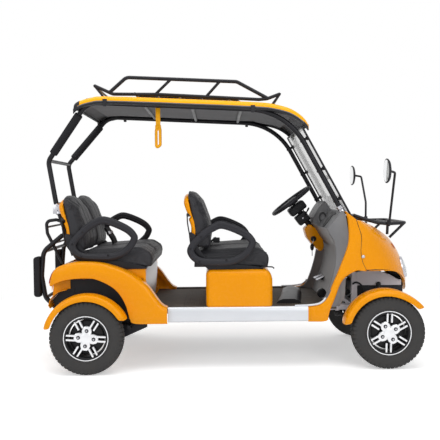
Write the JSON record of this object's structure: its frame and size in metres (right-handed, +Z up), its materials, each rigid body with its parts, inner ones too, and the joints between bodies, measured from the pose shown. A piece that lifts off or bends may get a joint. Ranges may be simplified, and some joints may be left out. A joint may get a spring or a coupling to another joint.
{
  "type": "golf cart",
  "caption": "Small electric golf cart with two rows of bench seats, a canopy on a tube frame, a roof rack, a clear windscreen and alloy wheels under orange mudguards.",
  "frame": {"origin": "on the ground under the middle of the bounding box", "axes": "+X forward, +Y to the cart's left, +Z up"},
  "size_m": [2.497, 1.196, 1.8565],
  "materials": {
    "body_orange": "gloss",
    "frame_black": "satin powder coat",
    "subframe_grey": "satin",
    "sill_silver": "brushed",
    "floor_brown": "textured",
    "dash_grey": "satin",
    "trim_black": "satin",
    "seat_vinyl": "grained vinyl",
    "foam_black": "foam sleeve",
    "liner_grey": "matt",
    "tyre_black": "rubber",
    "rim_alloy": "machined and painted",
    "axle_steel": "painted",
    "clamp_silver": "satin",
    "strap_yellow": "satin",
    "screen_clear": "clear",
    "lamp_clear": "clear",
    "battery_grey": "matt"
  },
  "bodies": {
    "chassis": {"chassis_rails": "frame_black", "cross_members": "frame_black", "sills": "sill_silver", "floor_pan": "floor_brown", "front_subframe": "subframe_grey", "spring_struts": "axle_steel", "front_axle": "axle_steel", "rear_axle": "axle_steel", "swing_arms": "frame_black", "rear_mudguard_right": "body_orange", "rear_mudguard_left": "body_orange", "canopy_frame": "frame_black", "foam_sleeves": "foam_black", "canopy": "body_orange", "headliner": "liner_grey", "windscreen": "screen_clear", "roof_rack": "frame_black", "hand_strap": "strap_yellow", "rear_body": "body_orange", "tail_panel": "body_orange", "rear_seat_base": "body_orange", "front_seat_box": "body_orange", "battery_pack": "battery_grey", "seat_cushions": "seat_vinyl", "seat_backs": "seat_vinyl", "seat_shells": "body_orange", "armrests": "trim_black", "seat_frames": "frame_black", "head_lamps": "lamp_clear", "nose": "body_orange", "dash_panel": "dash_grey", "cowl_sides": "body_orange", "steering_column": "trim_black", "column_cover": "body_orange", "pedals": "trim_black", "front_rack": "frame_black", "mirrors": "frame_black", "rear_bumper": "frame_black", "bumper_pads": "foam_black", "rear_carrier": "frame_black", "tube_clamps": "clamp_silver"},
    "steering": {"steering_wheel": "trim_black"},
    "tie_bar": {"tie_rod": "axle_steel"},
    "knuckle_right": {"knuckle_right": "axle_steel", "front_mudguard_right": "body_orange"},
    "front_wheel_right": {"tyre_front_right": "tyre_black", "rim_front_right": "rim_alloy"},
    "rear_wheel_right": {"tyre_rear_right": "tyre_black", "rim_rear_right": "rim_alloy"},
    "knuckle_left": {"knuckle_left": "axle_steel", "front_mudguard_left": "body_orange"},
    "front_wheel_left": {"tyre_front_left": "tyre_black", "rim_front_left": "rim_alloy"},
    "rear_wheel_left": {"tyre_rear_left": "tyre_black", "rim_rear_left": "rim_alloy"}
  },
  "joints": [
    {"name": "steering_wheel_turn", "type": "hinge", "parent": "chassis", "child": "steering", "pos_m": [0.492, 0.2, 1.052], "axis": [-0.5976, 0, 0.8018], "range_deg": [-270, 270]},
    {"name": "knuckle_right_turn", "type": "hinge", "parent": "chassis", "child": "knuckle_right", "pos_m": [1.021, -0.38, 0.23], "axis": [0, 0, 1], "range_deg": [-30, 30]},
    {"name": "knuckle_left_turn", "type": "hinge", "parent": "chassis", "child": "knuckle_left", "pos_m": [1.021, 0.38, 0.23], "axis": [0, 0, 1], "range_deg": [-30, 30]},
    {"name": "tie_bar_slide", "type": "slide", "parent": "chassis", "child": "tie_bar", "axis": [0, 1, 0], "range_m": [-0.0524, 0.0524]},
    {"name": "front_wheel_right_spin", "type": "hinge", "parent": "knuckle_right", "child": "front_wheel_right", "pos_m": [1.021, -0.4625, 0.23], "axis": [0, 1, 0], "continuous": true},
    {"name": "rear_wheel_right_spin", "type": "hinge", "parent": "chassis", "child": "rear_wheel_right", "pos_m": [-0.857, -0.5375, 0.23], "axis": [0, 1, 0], "continuous": true},
    {"name": "front_wheel_left_spin", "type": "hinge", "parent": "knuckle_left", "child": "front_wheel_left", "pos_m": [1.021, 0.4625, 0.23], "axis": [0, 1, 0], "continuous": true},
    {"name": "rear_wheel_left_spin", "type": "hinge", "parent": "chassis", "child": "rear_wheel_left", "pos_m": [-0.857, 0.5375, 0.23], "axis": [0, 1, 0], "continuous": true}
  ],
  "couplings": [
    {"joint": "knuckle_right_turn", "follows": "steering_wheel_turn", "ratio": 0.111},
    {"joint": "knuckle_left_turn", "follows": "steering_wheel_turn", "ratio": 0.111},
    {"joint": "tie_bar_slide", "follows": "steering_wheel_turn", "m_per_rad": -0.0111}
  ]
}
